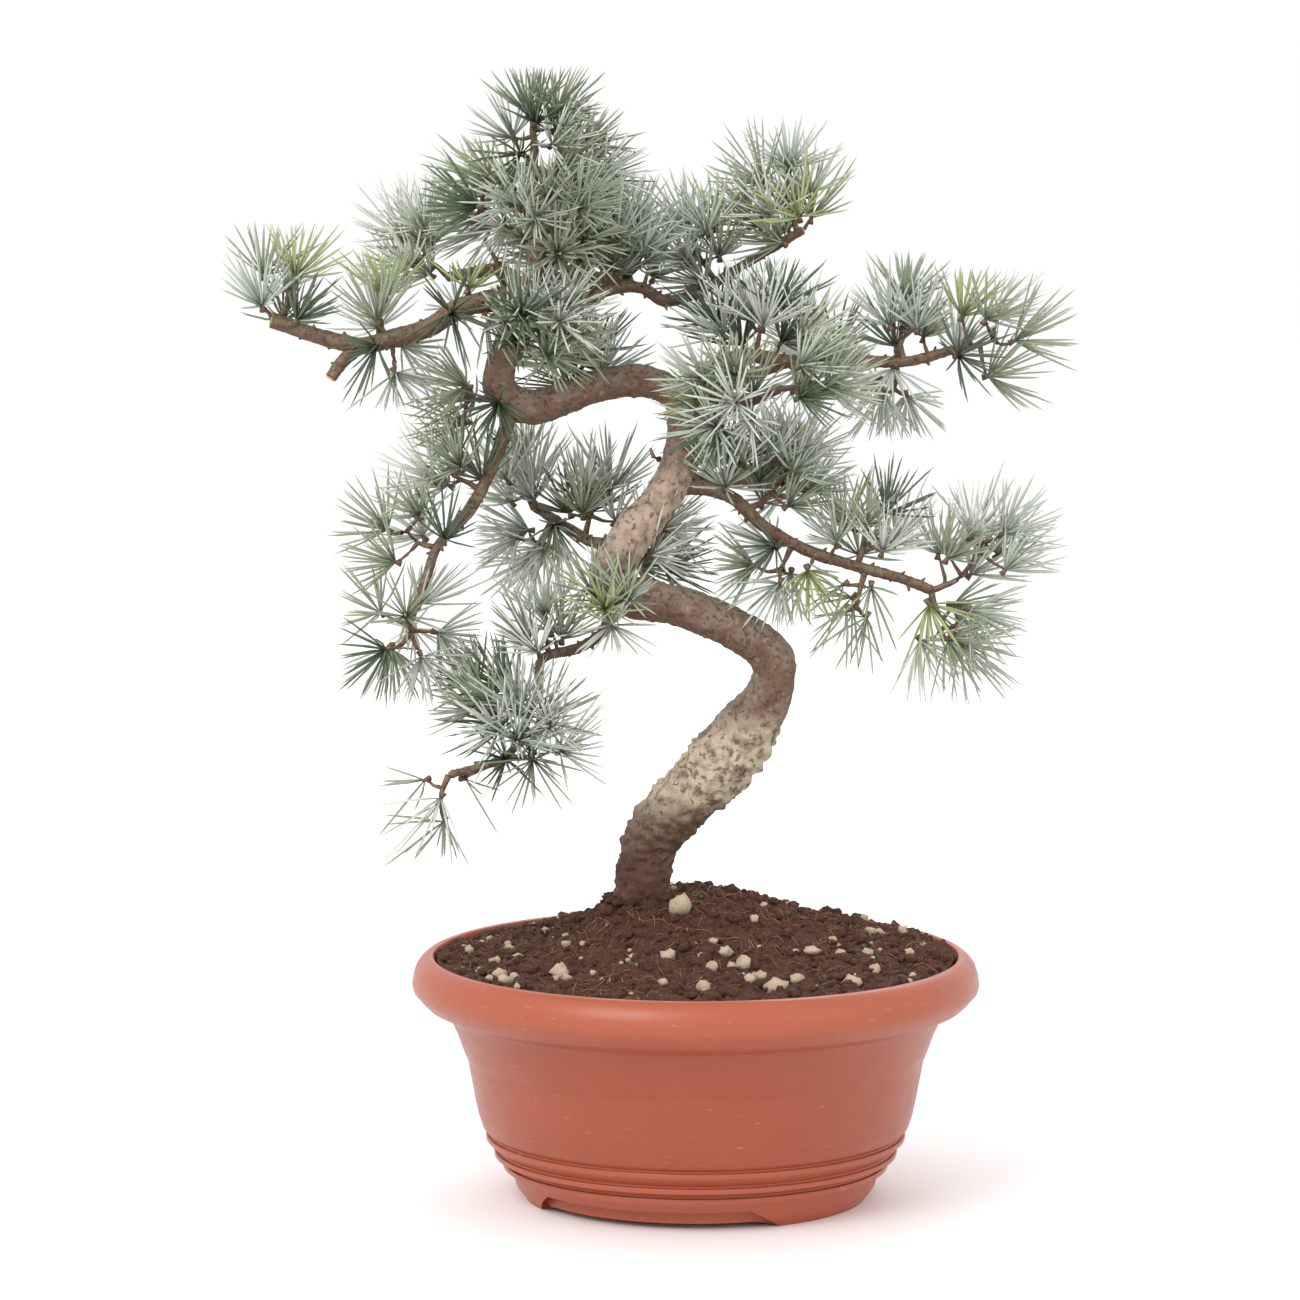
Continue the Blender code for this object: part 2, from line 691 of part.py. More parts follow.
def main():
    clear_scene()
    make_pot(principled("terracotta_plastic", TERRACOTTA, 0.45))
    make_soil(principled("peat", PEAT, 0.95))
    routes, clear = make_limbs(principled("bark", BARK, 0.85), principled("twig_bark", TWIG_BARK, 0.85))
    make_masses(routes, clear, principled("needles", NEEDLE_BLUE, 0.6))
    for cutter in clear:
        bpy.data.objects.remove(cutter)


main()
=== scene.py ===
# %% [markdown]
# # Blue atlas cedar bonsai in a round plastic bowl
#
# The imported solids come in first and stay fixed. They say where everything is: each piece made below
# stands in the place of one or more of them. Named sizes are millimetres, and `MM` turns them into
# the metres that the scene uses.

# %% Load the frame
import math
import random

import bmesh
import bpy
import numpy as np
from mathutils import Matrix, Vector, noise


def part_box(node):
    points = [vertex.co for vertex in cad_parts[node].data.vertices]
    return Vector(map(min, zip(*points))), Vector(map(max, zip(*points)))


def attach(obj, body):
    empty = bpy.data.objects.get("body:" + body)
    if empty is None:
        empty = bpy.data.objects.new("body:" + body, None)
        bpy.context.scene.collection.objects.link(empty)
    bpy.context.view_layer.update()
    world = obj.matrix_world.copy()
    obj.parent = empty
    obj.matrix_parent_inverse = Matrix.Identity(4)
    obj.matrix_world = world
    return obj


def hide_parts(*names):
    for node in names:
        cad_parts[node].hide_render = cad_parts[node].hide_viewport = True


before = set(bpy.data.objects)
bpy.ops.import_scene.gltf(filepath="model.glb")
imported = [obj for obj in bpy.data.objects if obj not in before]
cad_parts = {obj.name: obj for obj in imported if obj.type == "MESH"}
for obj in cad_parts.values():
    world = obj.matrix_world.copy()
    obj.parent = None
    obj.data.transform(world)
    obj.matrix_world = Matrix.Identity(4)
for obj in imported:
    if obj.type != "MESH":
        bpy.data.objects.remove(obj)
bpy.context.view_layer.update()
MM = 0.001
print("frame holds", len(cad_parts), "nodes")

# %% [markdown]
# ## Camera, light and floor
#
# A long lens from two metres, a little above the bowl, sees the tree as the photograph does. Large
# soft lights and a pale floor keep the shadows weak.

# %% Camera
CAMERA_TARGET = Vector((-0.01614, 0.0, 0.1942))
CAMERA_DISTANCE = 2.0
CAMERA_ELEVATION = math.radians(6.9)
CAMERA_LENS = 157.8

camera_data = bpy.data.cameras.new("camera")
camera_data.lens = CAMERA_LENS
camera = bpy.data.objects.new("camera", camera_data)
bpy.context.scene.collection.objects.link(camera)
towards_camera = Vector((0, -math.cos(CAMERA_ELEVATION), math.sin(CAMERA_ELEVATION)))
camera.location = CAMERA_TARGET + towards_camera * CAMERA_DISTANCE
camera.rotation_euler = (-towards_camera).to_track_quat("-Z", "Y").to_euler()
bpy.context.scene.camera = camera

# %% Lights
LIGHTS = {
    "key": ((-0.9, -1.3, 1.5), 1.1, 21.0),
    "fill": ((1.3, -1.0, 0.9), 1.2, 3.0),
    "back": ((0.3, 1.3, 1.4), 1.0, 7.0),
}
for name, (place, side, power) in LIGHTS.items():
    light = bpy.data.lights.new(name, "AREA")
    light.size = side
    light.energy = power
    lamp = bpy.data.objects.new(name, light)
    lamp.location = place
    lamp.rotation_euler = (CAMERA_TARGET - Vector(place)).to_track_quat("-Z", "Y").to_euler()
    bpy.context.scene.collection.objects.link(lamp)

world = bpy.data.worlds.new("studio")
world.use_nodes = True
world.node_tree.nodes["Background"].inputs["Color"].default_value = (1.0, 1.0, 1.0, 1.0)
world.node_tree.nodes["Background"].inputs["Strength"].default_value = 1.08
bpy.context.scene.world = world
bpy.context.scene.view_settings.view_transform = "Standard"
print(len(LIGHTS), "lights")

# %% [markdown]
# ## Materials
#
# `Wire` wraps one shader socket, so that shader maths reads as ordinary Python. `Shader.add` makes
# every other kind of node: settings first, and then its sockets.


# %% Shader helpers
class Wire:
    """A shader socket. Python's operators on it add Math nodes."""

    def __init__(self, shader, socket):
        self.shader = shader
        self.socket = socket

    def maths(self, operation, first, second):
        return self.shader.add("ShaderNodeMath", {"operation": operation}, {0: first, 1: second})

    def __add__(self, other):
        return self.maths("ADD", self, other)

    def __sub__(self, other):
        return self.maths("SUBTRACT", self, other)

    def __rsub__(self, other):
        return self.maths("SUBTRACT", other, self)

    def __mul__(self, other):
        return self.maths("MULTIPLY", self, other)

    __radd__ = __add__
    __rmul__ = __mul__


class Shader:
    """One material, with a Principled surface."""

    def __init__(self, name, roughness):
        self.material = bpy.data.materials.new(name)
        self.material.use_nodes = True
        self.tree = self.material.node_tree
        self.surface = self.tree.nodes["Principled BSDF"]
        self.surface.inputs["Roughness"].default_value = roughness
        self.place = self.add("ShaderNodeTexCoord", output="Object")

    def feed(self, socket, value):
        if isinstance(value, Wire):
            self.tree.links.new(value.socket, socket)
        else:
            socket.default_value = value

    def add(self, kind, settings=None, inputs=None, output=0):
        node = self.tree.nodes.new(kind)
        for key, value in (settings or {}).items():
            setattr(node, key, value)
        for key, value in (inputs or {}).items():
            self.feed(node.inputs[key], value)
        return Wire(self, node.outputs[output])

    def noise(self, size, detail=4.0, place=None):
        """A soft pattern from 0 to 1, whose blotches are about size millimetres."""
        inputs = {"Vector": place or self.place, "Scale": 1 / (size * MM), "Detail": detail}
        return self.add("ShaderNodeTexNoise", None, inputs)

    def step(self, value, low, high):
        """0 below low and 1 above high."""
        inputs = {"Value": value, "From Min": low, "From Max": high}
        return self.add("ShaderNodeMapRange", None, inputs)

    def mix(self, factor, first, second):
        settings = {"data_type": "RGBA"}
        inputs = {0: factor}
        for key, colour in ((6, first), (7, second)):
            inputs[key] = colour if isinstance(colour, Wire) else (*colour, 1.0)
        return self.add("ShaderNodeMix", settings, inputs, output=2)

    def height(self):
        return self.add("ShaderNodeSeparateXYZ", None, {0: self.place}, output=2)

    def finish(self, colour, relief=None, depth=0.0, roughness=None):
        self.feed(self.surface.inputs["Base Color"], colour)
        if roughness is not None:
            self.feed(self.surface.inputs["Roughness"], roughness)
        if relief is not None:
            inputs = {"Height": relief, "Distance": depth * MM, "Strength": 1.0}
            bump = self.add("ShaderNodeBump", None, inputs)
            self.feed(self.surface.inputs["Normal"], bump)
        return self.material


# %% The bowl's plastic
def terracotta_plastic():
    """Dull brick-coloured plastic: faint mottling, dust near the foot, small pale scuffs, a painted
    highlight on the rim and painted light on the ribbed foot.
    """
    shader = Shader("bowl_terracotta", 0.42)
    body = shader.mix(shader.noise(28.0), (0.285, 0.055, 0.022), (0.335, 0.067, 0.028))
    # Painted highlight: the rim turns paler and more saturated towards the top, for the light it catches.
    rim_painted_highlight = shader.step(shader.height(), 66 * MM, 80 * MM) * 0.35
    body = shader.mix(rim_painted_highlight, body, (0.46, 0.112, 0.055))
    # Painted light: the lower wall and its ribs turn paler, lifting the shade that falls on the ribs.
    foot_painted_light = (1 - shader.step(shader.height(), 14 * MM, 30 * MM)) * 0.6
    body = shader.mix(foot_painted_light, body, (0.43, 0.095, 0.045))
    stretched = shader.add(
        "ShaderNodeMapping", None, {"Vector": shader.place, "Scale": (1.0, 1.0, 7.0)}
    )
    scuffs = shader.step(shader.noise(6.0, 6.0, stretched), 0.66, 0.74) * 0.45
    body = shader.mix(scuffs, body, (0.50, 0.26, 0.18))
    dust = shader.step(shader.noise(1.6, 5.0), 0.60, 0.72)
    dust = dust * (1 - shader.step(shader.height(), 10 * MM, 34 * MM)) * 0.4
    body = shader.mix(dust, body, (0.30, 0.15, 0.10))
    rough = 0.27 + shader.noise(9.0) * 0.20
    return shader.finish(body, shader.noise(0.7, 3.0), 0.05, rough)


def peat():
    """Dark, crumbly fibre with lighter strands."""
    shader = Shader("peat_fibre", 0.95)
    body = shader.mix(shader.noise(2.4, 6.0), (0.008, 0.0035, 0.002), (0.150, 0.053, 0.027))
    strands = shader.step(shader.noise(0.9, 4.0), 0.60, 0.70) * 0.5
    body = shader.mix(strands, body, (0.36, 0.19, 0.10))
    return shader.finish(body, shader.noise(1.1, 6.0), 1.6)


def pumice():
    shader = Shader("pumice_grain", 0.9)
    body = shader.mix(shader.noise(3.5), (0.33, 0.24, 0.15), (0.64, 0.53, 0.39))
    pits = shader.step(shader.noise(0.8, 5.0), 0.58, 0.68) * 0.6
    body = shader.mix(pits, body, (0.20, 0.13, 0.08))
    return shader.finish(body, shader.noise(0.7, 4.0), 0.4)


def bark(name, grey, brown, red, wet_below, bands=()):
    """Grey skin where the bark faces up and redder, darker bark where it faces down, partly its own tones
    and partly painted light and shade; flaking, and wet and dark below a height.
    """
    shader = Shader(name, 0.82)
    facing = shader.add("ShaderNodeNewGeometry", output="Normal")
    up = shader.add("ShaderNodeSeparateXYZ", None, {0: facing}, output=2)
    # Bark turns brown and darker as it faces down: partly the bark's own brown, partly painted shade on
    # the undersides and painted light on the tops.
    brown_and_shade_beneath = shader.step(up * -0.35 + shader.noise(7.0, 6.0), 0.36, 0.62)
    body = shader.mix(brown_and_shade_beneath, grey, brown)
    flakes = shader.step(shader.noise(3.2, 7.0), 0.54, 0.62) * 0.75
    body = shader.mix(flakes, body, red)
    cracks = shader.step(shader.noise(1.3, 8.0), 0.57, 0.68) * 0.75
    body = shader.mix(cracks, body, (0.045, 0.022, 0.014))
    pale = shader.step(shader.noise(2.1, 6.0), 0.62, 0.72) * 0.35
    body = shader.mix(pale, body, (0.50, 0.42, 0.33))
    for low, high, colour in bands:
        band = shader.step(shader.height(), (low - 6) * MM, (low + 4) * MM)
        band = band * (1 - shader.step(shader.height(), (high - 5) * MM, (high + 7) * MM))
        band = band * shader.step(shader.noise(4.0, 6.0), 0.33, 0.56) * 0.9
        body = shader.mix(band, body, colour)
    seams = shader.step(shader.noise(2.2, 9.0), 0.56, 0.62) * 0.7
    body = shader.mix(seams, body, (0.075, 0.042, 0.027))
    wet = 1 - shader.step(shader.height(), wet_below * MM, (wet_below + 14) * MM)
    body = shader.mix(wet * 0.75, body, (0.085, 0.030, 0.018))
    return shader.finish(body, shader.noise(1.0, 8.0), 0.7)


def plain(name, dark, light, size, roughness):
    """Two close colours in soft blotches."""
    shader = Shader(name, roughness)
    return shader.finish(shader.mix(shader.noise(size), dark, light))


TERRACOTTA = terracotta_plastic()
PEAT = peat()
PUMICE = pumice()
PALE_BANDS = ((139, 168, (0.56, 0.47, 0.34)), (226, 258, (0.46, 0.35, 0.265)))
TRUNK_BARK = bark(
    "trunk_skin", (0.235, 0.172, 0.132), (0.145, 0.085, 0.053), (0.18, 0.088, 0.05), 118, PALE_BANDS
)
BOUGH_BARK = bark("bough_skin", (0.20, 0.145, 0.095), (0.115, 0.064, 0.036), (0.17, 0.080, 0.040), 0)
CUT_WOOD = plain("cut_wood", (0.42, 0.28, 0.15), (0.60, 0.44, 0.27), 2.0, 0.8)
FIBRE = plain("root_fibre", (0.13, 0.06, 0.03), (0.34, 0.19, 0.10), 3.0, 0.9)
MOSS = plain("moss", (0.03, 0.055, 0.012), (0.09, 0.14, 0.03), 2.0, 0.95)
print("materials made")

# %% Floor
FLOOR_SIDE = 60.0
floor_mesh = bpy.data.meshes.new("floor")
half = FLOOR_SIDE / 2
floor_mesh.from_pydata(
    [(-half, -half, 0), (half, -half, 0), (half, half, 0), (-half, half, 0)], [], [(0, 1, 2, 3)]
)
floor_mesh.materials.append(plain("floor", (0.93, 0.93, 0.93), (0.94, 0.94, 0.94), 200.0, 0.9))
floor = bpy.data.objects.new("floor", floor_mesh)
bpy.context.scene.collection.objects.link(floor)


# %% [markdown]
# ## Pieces
#
# `piece` turns points in millimetres into a mesh that rides with the plant and stands for its solids.


# %% Making a piece
MERGE = 1e-7


def face_outwards(mesh):
    """Merges doubled points and turns every face outwards."""
    bm = bmesh.new()
    bm.from_mesh(mesh)
    bmesh.ops.remove_doubles(bm, verts=bm.verts, dist=MERGE)
    bmesh.ops.recalc_face_normals(bm, faces=bm.faces)
    if bm.calc_volume(signed=True) < 0:
        bmesh.ops.reverse_faces(bm, faces=bm.faces)
    bm.to_mesh(mesh)
    bm.free()


def piece(name, points, faces, material, nodes):
    mesh = bpy.data.meshes.new(name)
    mesh.from_pydata((np.asarray(points, float) * MM).tolist(), [], faces)
    face_outwards(mesh)
    mesh.materials.append(material)
    mesh.shade_smooth()
    obj = bpy.data.objects.new(name, mesh)
    bpy.context.scene.collection.objects.link(obj)
    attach(obj, "root")
    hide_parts(*nodes)
    print(name, len(mesh.polygons), "faces")
    return obj


class Heap:
    """Points and faces of many small shapes that become one piece."""

    def __init__(self):
        self.points = []
        self.faces = []

    def take(self, points, faces):
        start = len(self.points)
        self.points += [tuple(point) for point in points]
        self.faces += [tuple(start + i for i in face) for face in faces]


def rings_to_faces(rows, around):
    """Faces of a tube with closed ends, whose points run row by row."""
    faces = []
    for row in range(rows - 1):
        for k in range(around):
            n = (k + 1) % around
            here, above = row * around, (row + 1) * around
            faces.append((here + k, here + n, above + n, above + k))
    faces.append(tuple(reversed(range(around))))
    faces.append(tuple((rows - 1) * around + k for k in range(around)))
    return faces


# %% [markdown]
# ## The bowl
#
# One section is turned round the axis. Between the two feet the skirt is cut away above the ground,
# with slanting ends, and a band set back behind it shows.

# %% Bowl
COLUMNS_EACH = 60  # in each gap and in each foot
POT_FOOT_TOP = 7.0
POT_BAND_R = 59.6
POT_PAN = 2.2
GAP_BOTTOM, GAP_TOP = (-64.0, 28.5), (-53.7, 16.8)

POT_INSIDE = [
    (0.0, 4.4), (56.8, 4.4), (57.4, 9.2), (69.0, 18.5), (74.0, 28.0), (78.3, 47.7), (87.0, 68.0),
    (91.8, 82.0), (92.3, 85.0), (92.8, 86.1),
]
POT_OUTSIDE = [
    (93.9, 86.4), (95.4, 85.8), (97.2, 84.4), (98.7, 82.4), (99.6, 79.8), (100.2, 76.4), (99.7, 74.2),
    (98.2, 72.6), (96.9, 71.0), (95.2, 69.4), (92.0, 68.1), (88.9, 67.2), (87.0, 64.6), (84.5, 59.5),
    (82.4, 53.6), (81.0, 50.2), (80.6, 49.6), (80.4, 47.7), (79.2, 41.5), (78.2, 36.0), (76.9, 30.0),
    (75.4, 25.4),
]
RIB_TOPS, RIB_RADII = (22.3, 16.5, 12.3), (73.0, 70.1, 67.0)
RIB_SECTION = ((0.0, 0.9), (0.1, 0.35), (1.1, 0.12), (1.35, -0.4), (1.15, -1.5))
POT_OUTSIDE += [
    (radius + out, top + up)
    for radius, top in zip(RIB_RADII, RIB_TOPS, strict=True)
    for out, up in RIB_SECTION
]
POT_OUTSIDE += [(65.2, 8.8)]
POT_SKIRT = [(64.4, POT_FOOT_TOP), (63.7, 4.6), (62.4, 2.6), (61.0, 1.2), (60.4, 0.0), (57.8, 0.0)]
POT_UNDER = [(56.9, POT_PAN), (0.0, POT_PAN)]
SET_BACK = [
    (64.4, POT_FOOT_TOP), (POT_BAND_R, POT_FOOT_TOP), (POT_BAND_R, 4.6), (POT_BAND_R, 3.2),
    (POT_BAND_R, POT_PAN), (57.8, POT_PAN),
]


def pot_column(angle, lower, lean):
    """One turned section. lean slides its lowest points along the gap's slanting end."""
    column = []
    section = POT_INSIDE + POT_OUTSIDE + lower + POT_UNDER
    first_low = len(POT_INSIDE) + len(POT_OUTSIDE)
    for i, (radius, z) in enumerate(section):
        turn = angle
        if first_low <= i < first_low + len(lower):
            turn += lean * (1 - min(POT_SKIRT[i - first_low][1], POT_FOOT_TOP) / POT_FOOT_TOP)
        turn = math.radians(turn)
        column.append((radius * math.sin(turn), -radius * math.cos(turn), z))
    return column


pot_columns = []
for half_turn in (0.0, 180.0):
    start, end = GAP_TOP
    lean_start, lean_end = GAP_BOTTOM[0] - start, GAP_BOTTOM[1] - end
    for k in range(COLUMNS_EACH):
        angle = start + (end - start) * k / (COLUMNS_EACH - 1)
        share = k / (COLUMNS_EACH - 1)
        lean = lean_start + (lean_end - lean_start) * share
        pot_columns.append(pot_column(angle + half_turn, SET_BACK, lean))
    foot_turn = 180.0 - (end - start)
    for k in range(COLUMNS_EACH):
        share = k / (COLUMNS_EACH - 1)
        angle = end + foot_turn * share
        lean = lean_end + (lean_start - lean_end) * share
        pot_columns.append(pot_column(angle + half_turn, POT_SKIRT, lean))
pot_points = [point for column in pot_columns for point in column]
tall = len(pot_columns[0])
pot_faces = []
for c in range(len(pot_columns)):
    here, beside = c * tall, (c + 1) % len(pot_columns) * tall
    for i in range(tall - 1):
        pot_faces.append((here + i, beside + i, beside + i + 1, here + i + 1))
pot = piece("pot_bowl", pot_points, pot_faces, TERRACOTTA, ["pot"])

# %% Drain holes
DRAIN_HOLES, DRAIN_HOLE_SIDES = 4, 32
DRAIN_HOLE_R, DRAIN_RING_R, DRAIN_CUT = 3.5, 36.0, 12.0
SHARP_EDGE = 38.0
drills = bmesh.new()
for k in range(DRAIN_HOLES):
    turn = math.tau * (k + 0.5) / DRAIN_HOLES
    made = bmesh.ops.create_cone(
        drills,
        cap_ends=True,
        segments=DRAIN_HOLE_SIDES,
        radius1=DRAIN_HOLE_R * MM,
        radius2=DRAIN_HOLE_R * MM,
        depth=DRAIN_CUT * MM,
    )
    place = Vector((math.sin(turn), -math.cos(turn), 0)) * DRAIN_RING_R * MM
    bmesh.ops.translate(drills, verts=made["verts"], vec=place)
drill_mesh = bpy.data.meshes.new("drills")
drills.to_mesh(drill_mesh)
drills.free()
drill = bpy.data.objects.new("drills", drill_mesh)
bpy.context.scene.collection.objects.link(drill)
cut = pot.modifiers.new("drain_holes", "BOOLEAN")
cut.operation = "DIFFERENCE"
cut.solver = "EXACT"
cut.object = drill
bpy.context.view_layer.update()
drilled = bpy.data.meshes.new_from_object(pot.evaluated_get(bpy.context.evaluated_depsgraph_get()))
pot.modifiers.clear()
pot.data = drilled
bpy.data.objects.remove(drill)
pot.data.set_sharp_from_angle(angle=math.radians(SHARP_EDGE))

# %% [markdown]
# ## The soil
#
# The surface rises to a mound at the trunk. Pumice grains, loose fibres and crumbs of moss lie on it,
# strewn by a seeded rule, and a few large grains have a place of their own.

# %% Soil surface
SOIL_LEVEL = 84.6
MOUND_AT = (-8.0, 10.0)
MOUND_HIGH = 23.5
MOUND_LEFT, MOUND_RIGHT, MOUND_FRONT, MOUND_BACK = 34.0, 60.0, 52.0, 56.0
SOIL_R = 91.4
TRUNK_FOOT = Vector((-19.0, 10.0, 104.5))
SEAT_R, SEAT_FADES, SEAT_DROP = 11.0, 9.0, 0.2

SOIL_LUMPS = ((9, 2.6, 1.0), (3, 1.6, 4.0), (1.2, 0.9, 9.0))  # size, depth, layer of the pattern


def soil_height(x, y):
    side = MOUND_LEFT if x < MOUND_AT[0] else MOUND_RIGHT
    end = MOUND_FRONT if y < MOUND_AT[1] else MOUND_BACK
    fall = ((x - MOUND_AT[0]) / side) ** 2 + ((y - MOUND_AT[1]) / end) ** 2
    high = SOIL_LEVEL + MOUND_HIGH * math.exp(-fall)
    near = math.hypot(x - TRUNK_FOOT.x, y - TRUNK_FOOT.y)
    seat = max(0.0, 1 - max(0.0, near - SEAT_R) / SEAT_FADES)
    for size, depth, layer in SOIL_LUMPS:
        high += depth * noise.noise(Vector((x / size, y / size, layer)))
    return high * (1 - seat) + (TRUNK_FOOT.z - SEAT_DROP) * seat


SOIL_RINGS, SOIL_AROUND = 110, 300
SOIL_SKIRT = ((56.0, 5.0), (68.0, 19.5), (77.4, 47.7))  # radius and height, from the floor up
soil_points = []
for radius, z in SOIL_SKIRT:
    for k in range(SOIL_AROUND):
        angle = math.tau * k / SOIL_AROUND
        soil_points.append((radius * math.cos(angle), radius * math.sin(angle), z))
for ring in range(SOIL_RINGS):
    radius = SOIL_R * (SOIL_RINGS - 1 - ring) / (SOIL_RINGS - 1) + 0.01
    for k in range(SOIL_AROUND):
        angle = math.tau * k / SOIL_AROUND
        x, y = radius * math.cos(angle), radius * math.sin(angle)
        soil_points.append((x, y, soil_height(x, y)))
soil_faces = rings_to_faces(SOIL_RINGS + len(SOIL_SKIRT), SOIL_AROUND)
piece("soil_peat", soil_points, soil_faces, PEAT, ["soil"])


# %% Grains, fibres and moss
PEBBLE_ROWS, PEBBLE_AROUND = 5, 8


def pebble(heap, at, size, rng):
    """An uneven lump of low resolution, squashed a little."""
    rows, around = PEBBLE_ROWS, PEBBLE_AROUND
    stretch = Vector((rng.uniform(0.8, 1.2), rng.uniform(0.8, 1.2), rng.uniform(0.6, 0.9)))
    shift = Vector([rng.uniform(0, 50) for _ in range(3)])
    points = []
    for row in range(rows):
        polar = math.pi * (row + 0.5) / rows
        for k in range(around):
            turn = math.tau * k / around
            across = math.sin(polar)
            out = Vector((across * math.cos(turn), across * math.sin(turn), -math.cos(polar)))
            radius = size / 2 * (1 + 0.55 * noise.noise(out * 2.1 + shift))
            points.append(at + Vector(a * b for a, b in zip(out, stretch, strict=True)) * radius)
    heap.take(points, rings_to_faces(rows, around))


def strand(heap, route, radius, around=5):
    """A thin tapering tube along points."""
    points = []
    for i, centre in enumerate(route):
        ahead = route[min(i + 1, len(route) - 1)] - route[max(i - 1, 0)]
        side = ahead.orthogonal().normalized()
        other = ahead.normalized().cross(side)
        thick = radius * (1 - 0.6 * i / (len(route) - 1))
        for k in range(around):
            turn = math.tau * k / around
            points.append(centre + (side * math.cos(turn) + other * math.sin(turn)) * thick)
    heap.take(points, rings_to_faces(len(route), around))


def on_soil(rng, most=0.985):
    """A place on the soil, clear of the trunk."""
    while True:
        radius, angle = SOIL_R * most * math.sqrt(rng.random()), rng.uniform(0, math.tau)
        x, y = radius * math.cos(angle), radius * math.sin(angle)
        if math.hypot(x - TRUNK_FOOT.x, y - TRUNK_FOOT.y) > SEAT_R + 3:
            return Vector((x, y, soil_height(x, y)))


SOIL_SEED = 11
soil_rng = random.Random(SOIL_SEED)
LARGE_GRAINS = {
    (-6, -14): 9.0, (-47, -46): 7.5, (16, -50): 6.5, (27, -68): 8.5, (53, -58): 8.0, (-10, -44): 5.5,
    (-66, -52): 5.0, (-68, -44): 6.0, (40, -30): 5.0, (-30, -60): 5.0, (2, -72): 6.0, (62, -40): 5.5,
    (10, -42): 6.0, (5, -54): 5.0, (22, -57): 4.5, (18, -66): 5.5, (-22, -40): 4.0, (34, -60): 5.0,
}
SMALL_GRAINS, CRUMBS, FIBRES, MOSS_TUFTS = 130, 2300, 460, 45
FOOT_CRUMBS = 130
grains, crumbs, fibres, moss = Heap(), Heap(), Heap(), Heap()
for (x, y), size in LARGE_GRAINS.items():
    pebble(grains, Vector((x, y, soil_height(x, y) + size * 0.18)), size, soil_rng)
for _ in range(SMALL_GRAINS):
    size = soil_rng.choice((1.6, 2.0, 2.6, 3.2, 4.2))
    pebble(grains, on_soil(soil_rng) + Vector((0, 0, size * 0.15)), size, soil_rng)
for _ in range(CRUMBS):
    pebble(crumbs, on_soil(soil_rng), 1.0 + 5.0 * soil_rng.random() ** 2.5, soil_rng)
for _ in range(FOOT_CRUMBS):
    turn, away = soil_rng.uniform(0, math.tau), soil_rng.uniform(9.5, 14.5)
    at = TRUNK_FOOT + Vector((math.cos(turn), math.sin(turn), 0)) * away
    pebble(crumbs, at, soil_rng.uniform(1.5, 4.0), soil_rng)
for _ in range(FIBRES):
    at = on_soil(soil_rng, 0.95)
    turn, curl = soil_rng.uniform(0, math.tau), soil_rng.uniform(-0.35, 0.35)
    long, rise = soil_rng.uniform(0.8, 2.4), soil_rng.uniform(0.2, 1.3)
    route = []
    for i in range(7):
        lift = 0.3 + rise * math.sin(math.pi * i / 6)
        route.append(Vector((at.x, at.y, soil_height(at.x, at.y) + lift)))
        step = Vector((math.cos(turn), math.sin(turn), 0)) * long
        if math.hypot(at.x + step.x, at.y + step.y) > SOIL_R - 1:
            turn += math.pi / 2
            step = Vector((math.cos(turn), math.sin(turn), 0)) * 0.4
        at = at + step
        turn += curl
    strand(fibres, route, soil_rng.uniform(0.10, 0.26))
for _ in range(MOSS_TUFTS):
    pebble(moss, on_soil(soil_rng), soil_rng.uniform(1.4, 3.0), soil_rng)
piece("soil_grains", grains.points, grains.faces, PUMICE, ["soil"])
piece("soil_crumbs", crumbs.points, crumbs.faces, PEAT, ["soil"])
piece("soil_fibres", fibres.points, fibres.faces, FIBRE, ["soil"])
piece("soil_moss", moss.points, moss.faces, MOSS, ["soil"])

# %% [markdown]
# ## Trunk and boughs
#
# Each limb is swept along a smooth curve through stations of x, y, z and thickness. Its skin has real
# relief: broad swellings, then cracked plates, then small warts.

# %% Limb routes
TRUNK = (
    (-19, 10, 104.5, 17.6), (-17.2, 9, 120, 18.8), (-11.6, 8, 132, 20.4), (-0.4, 6, 143.5, 21.8),
    (10.4, 4, 155.5, 24.2), (19.2, 2, 168, 20.8), (25.5, 0, 179, 16.8), (27.5, -1, 188, 15.4),
    (24, -2, 195, 14.8), (17, -3, 200, 14.7), (6.5, -4, 205.5, 14.7), (-4, -5, 209.6, 14.7),
    (-14.5, -6, 212.3, 14.7), (-22, -7, 213.2, 14.7), (-28, -8, 216, 14.7), (-30, -8, 221.5, 15),
    (-26, -7, 230, 14.7), (-18, -5, 240, 14), (-10, -3, 251, 13.3), (-5.5, -1, 261, 12.9),
    (-4, 1, 271.5, 12.6), (-5, 3, 280, 11.9), (-11, 4, 286, 11.3), (-20, 4, 288.5, 11.2),
    (-30, 4, 287.8, 11.5), (-40, 3, 285, 11.5), (-48, 1, 282, 11.5), (-57, -1, 279.8, 12.4),
    (-65, -3, 282.2, 12.2), (-68.5, -4, 288, 11.5), (-68, -4, 295, 11.1), (-63.5, -2, 305, 12.2),
    (-62, 0, 315, 12.2), (-56, 1, 325, 9.2), (-55.5, 3, 335.5, 7.7), (-57, 4, 352.6, 4.9),
    (-56.5, 5, 372, 2.6), (-58, 6, 387, 1.6),
)
